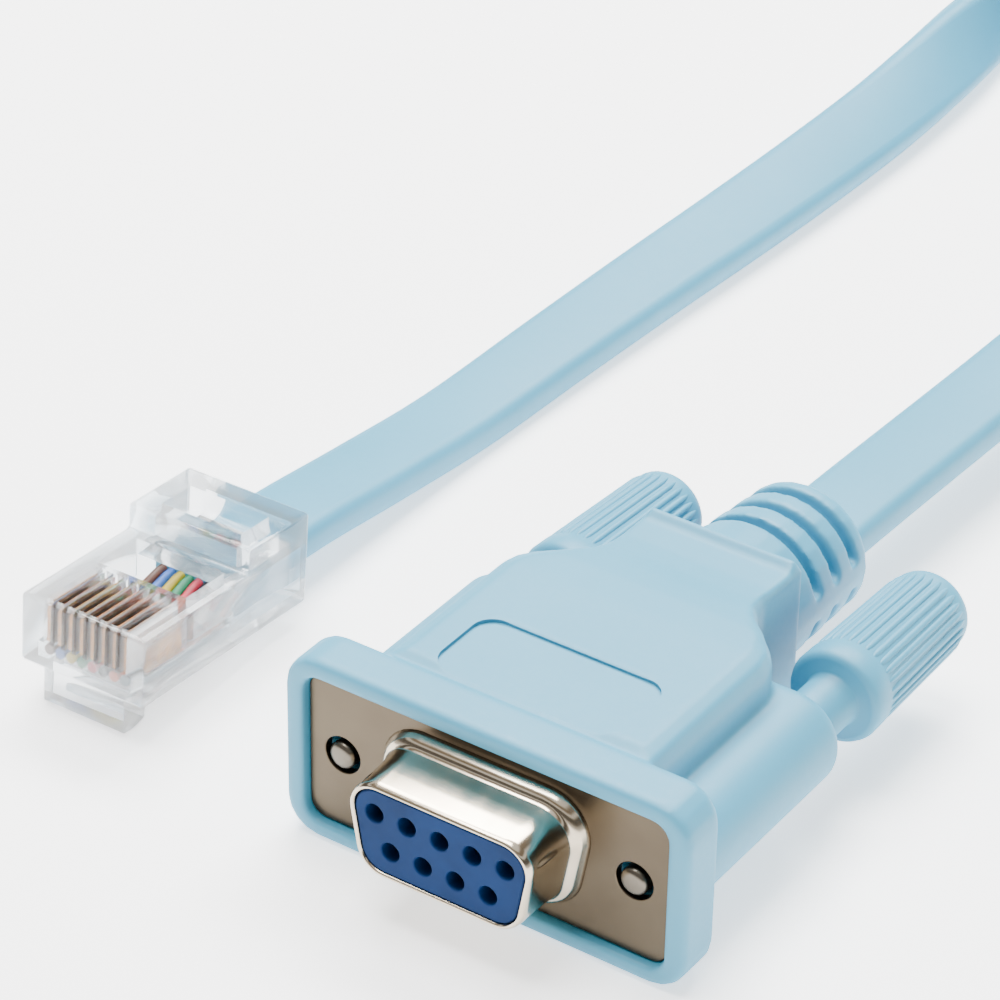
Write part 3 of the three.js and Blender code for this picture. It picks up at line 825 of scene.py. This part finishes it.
class NodeTree:
    """A Geometry Nodes tree with named inputs, built node by node."""

    def __init__(self, name, inputs):
        self.tree = bpy.data.node_groups.new(name, "GeometryNodeTree")
        self.identifiers = {}
        for label, kind in inputs.items():
            socket = self.tree.interface.new_socket(label, in_out="INPUT", socket_type=f"NodeSocket{kind}")
            self.identifiers[label] = socket.identifier
        self.tree.interface.new_socket("Geometry", in_out="OUTPUT", socket_type="NodeSocketGeometry")
        self.given = self.tree.nodes.new("NodeGroupInput").outputs
        self.result = self.tree.nodes.new("NodeGroupOutput").inputs["Geometry"]

    def add(self, kind, *values, **settings):
        """Adds a node; its first inputs, in order, take a socket or a plain value, and None is left alone."""
        node = self.tree.nodes.new(kind)
        for label, value in settings.items():
            setattr(node, label, value)
        for socket, value in zip([s for s in node.inputs if s.enabled], values):
            if isinstance(value, bpy.types.NodeSocket):
                self.tree.links.new(value, socket)
            elif value is not None:
                socket.default_value = value
        return node.outputs[0]

    def math(self, operation, first, second):
        return self.add("ShaderNodeMath", first, second, operation=operation)

    def ease(self, value, reach):
        """Rises smoothly from 0 to 1 while the value goes from 0 to the reach."""
        return self.add("ShaderNodeMapRange", value, 0.0, reach, 0.0, 1.0, interpolation_type="SMOOTHSTEP")

    def finish(self, geometry):
        self.tree.links.new(geometry, self.result)


def grip_ribs():
    """Round ribs side by side round the Y line, each fading into the grip at both of its ends."""
    nodes = NodeTree(
        "grip_ribs",
        {
            "Ribs": "Int",
            "Front Radius": "Float",
            "Rear Radius": "Float",
            "Start": "Float",
            "End": "Float",
            "Rib Radius": "Float",
            "Material": "Material",
        },
    )
    given = nodes.given
    front = nodes.add("ShaderNodeCombineXYZ", given["Front Radius"], given["Start"])
    rear = nodes.add("ShaderNodeCombineXYZ", given["Rear Radius"], given["End"])
    line = nodes.add("GeometryNodeCurvePrimitiveLine", front, rear)
    line = nodes.add("GeometryNodeResampleCurve", line, None, RIB_RINGS)
    along = nodes.add("GeometryNodeSplineParameter")
    to_end = nodes.math("SUBTRACT", 1.0, along)
    swell = nodes.ease(along, RIB_SWELL)
    sink = nodes.ease(to_end, RIB_SINK)
    thickness = nodes.math("MULTIPLY", swell, sink)
    section = nodes.add("GeometryNodeCurvePrimitiveCircle", RIB_SIDES, given["Rib Radius"])
    rib = nodes.tree.nodes.new("GeometryNodeCurveToMesh")
    nodes.tree.links.new(line, rib.inputs["Curve"])
    nodes.tree.links.new(section, rib.inputs["Profile Curve"])
    nodes.tree.links.new(thickness, rib.inputs["Scale"])
    rib.inputs["Fill Caps"].default_value = True
    number = nodes.add("GeometryNodeInputIndex")
    turn = nodes.math("DIVIDE", nodes.math("MULTIPLY", number, 2 * math.pi), given["Ribs"])
    places = nodes.add("GeometryNodePoints", given["Ribs"])
    ring = nodes.tree.nodes.new("GeometryNodeInstanceOnPoints")
    nodes.tree.links.new(places, ring.inputs["Points"])
    nodes.tree.links.new(rib.outputs["Mesh"], ring.inputs["Instance"])
    nodes.tree.links.new(nodes.add("ShaderNodeCombineXYZ", None, turn), ring.inputs["Rotation"])
    solid = nodes.add("GeometryNodeRealizeInstances", ring.outputs["Instances"])
    nodes.finish(nodes.add("GeometryNodeSetMaterial", solid, None, given["Material"]))
    return nodes


def grown_mesh(name, nodes, values):
    """An object whose plain mesh is the result of a node tree with these input values."""
    obj = link(bpy.data.objects.new(name, bpy.data.meshes.new(name)))
    modifier = obj.modifiers.new("nodes", "NODES")
    modifier.node_group = nodes.tree
    for label, value in values.items():
        modifier[nodes.identifiers[label]] = value
    finished_mesh(obj)
    return obj


def grip_radius(y):
    """Outer radius of a thumbscrew's grip, to the tops of its ribs."""
    share = (y - KNOB_FRONT) / (KNOB_END - KNOB_FRONT)
    return KNOB_FRONT_RADIUS + (KNOB_END_RADIUS - KNOB_FRONT_RADIUS) * share


def make_thumbscrew(name, rib_nodes, rubber, metal):
    place = thumbscrew_place(f"thumbscrew_{name}_turn")
    body = f"thumbscrew_{name}"
    ribs_start = KNOB_FRONT + KNOB_BAND
    ribs_end = KNOB_END - RIB_RUN_OUT
    between = KNOB_END_RADIUS - RIB_DEPTH
    profile = [(r * MM, y * MM) for r, y in KNOB_SLEEVE] + [
        (grip_radius(KNOB_FRONT), KNOB_FRONT + KNOB_ROUND),
        (grip_radius(ribs_start), ribs_start),
        (grip_radius(ribs_start) - RIB_DEPTH, ribs_start + 2 * RIB_DEPTH),
        (between, KNOB_END - KNOB_DOME),
    ]
    for i in range(1, KNOB_DOME_STEPS + 1):
        angle = math.pi / 2 * i / KNOB_DOME_STEPS
        inset, back = KNOB_DOME * (1 - math.cos(angle)), KNOB_DOME * (1 - math.sin(angle))
        profile.append((between - inset, KNOB_END - back))
    profile.append((0, KNOB_END))
    grip = mesh_object(f"grip_{name}", turned(profile, place, GRIP_SIDES), rubber)
    grip.data.set_sharp_from_angle(angle=math.radians(50))
    ribs = grown_mesh(
        f"ribs_{name}",
        rib_nodes,
        {
            "Ribs": KNOB_RIBS,
            "Front Radius": grip_radius(ribs_start) - RIB_RADIUS,
            "Rear Radius": grip_radius(ribs_end) - RIB_RADIUS,
            "Start": ribs_start,
            "End": ribs_end,
            "Rib Radius": RIB_RADIUS,
            "Material": rubber,
        },
    )
    ribs.data.transform(place)
    for piece in (grip, ribs):
        stand_for(piece, f"knob_{name}", body=body)
    shank_profile = [(r * MM, y * MM) for r, y in SCREW_PROFILE]
    shank = mesh_object(f"shank_{name}", turned(shank_profile, place, SHANK_SIDES), metal)
    shank.data.set_sharp_from_angle(angle=math.radians(35))
    stand_for(shank, f"screw_{name}", body=body)


def make_plug_piece(name, node, material, body):
    """A clear moulding: the CAD solid with its edges rounded."""
    piece = mesh_object(name, copy_of_node(node), material)
    bevel = piece.modifiers.new("edges", "BEVEL")
    bevel.width = PLUG_EDGE
    bevel.segments = 2
    bevel.limit_method = "ANGLE"
    bevel.angle_limit = math.radians(40)
    finished_mesh(piece, sharp_angle=30)
    return stand_for(piece, node, body=body)


def paint_node(node, material):
    """Gives a CAD node that is shown as it is its finish."""
    data = bpy.data.objects[node].data
    data.materials.clear()
    data.materials.append(material)


def make_core(number, material):
    """One coloured core: along the duct under the blades, then up to the end of the jacket."""
    side = (number - (PLUG_WAYS + 1) / 2) * PLUG_PITCH
    section = circle(CORE_RADIUS, 0, 0, CORE_SIDES)
    rings = [
        [PLUG_FRAME @ Vector((side * spread + p.x, y * MM, z * MM + p.y)) for p in section]
        for y, z, spread in CORE_LINE
    ]
    core = mesh_object(f"core_{number}", lofted(rings), material)
    core.data.set_sharp_from_angle(angle=math.radians(50))
    return stand_for(core, f"wire_{number}")


make_camera()
make_floor()
make_lights()

blue_hood = light_blue_moulding("hood_blue", 1800)
blue_cable = light_blue_moulding("cable_blue", 1200)
bright_nickel = nickel("bright_nickel", srgb(178, 164, 142), srgb(206, 194, 174), 0.16)
# The plate's nickel: the shell's metal painted darker, a painted shade for the darker reflections on the
# plate, and a little rougher
shaded_plate_nickel = nickel("shaded_plate_nickel", srgb(78, 69, 57), srgb(88, 79, 66), 0.3)
# The screws' nickel: painted darker, a painted shade that keeps the screw tips grey under the bright light
shaded_screw_nickel = nickel("shaded_screw_nickel", srgb(92, 86, 77), srgb(108, 102, 92), 0.32)
clear = clear_plastic()
blade_gold = gold("blade_gold", srgb(140, 80, 18), srgb(190, 126, 46), 0.28)
# The socket contacts' gold: painted dark, the painted shade deep in their holes
contact_gold = gold("contact_gold", srgb(40, 30, 20), srgb(58, 44, 28), 0.5)

make_hood(blue_hood)
make_face_shell(shaded_plate_nickel, bright_nickel)
make_insulator(insulator_blue())
rib_nodes = grip_ribs()
for side in ("left", "right"):
    make_thumbscrew(side, rib_nodes, blue_hood, shaded_screw_nickel)
plug_pieces = [
    make_plug_piece("plug_housing", "plug_body", clear, "connector"),
    make_plug_piece("plug_latch", "latch_arm", clear, "latch"),
]

cable, cable_path, cable_length = make_cable(blue_cable)
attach(cable, "connector")
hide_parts("cable_hood_end", "cable_coil", "cable_plug_end")


for number, (name, colour) in enumerate(WIRE_COLOURS.items(), 1):
    plug_pieces.append(make_core(number, wire_plastic(f"wire_{name}", srgb(*colour))))
    paint_node(f"blade_{number}", blade_gold)
for number in range(1, 10):
    paint_node(f"socket_contact_{number}", contact_gold)
paint_node("coil_tie", black_band())

plug_pieces.append(bpy.data.objects["coil_tie"])
plug_pieces += [bpy.data.objects[f"blade_{number}"] for number in range(1, PLUG_WAYS + 1)]
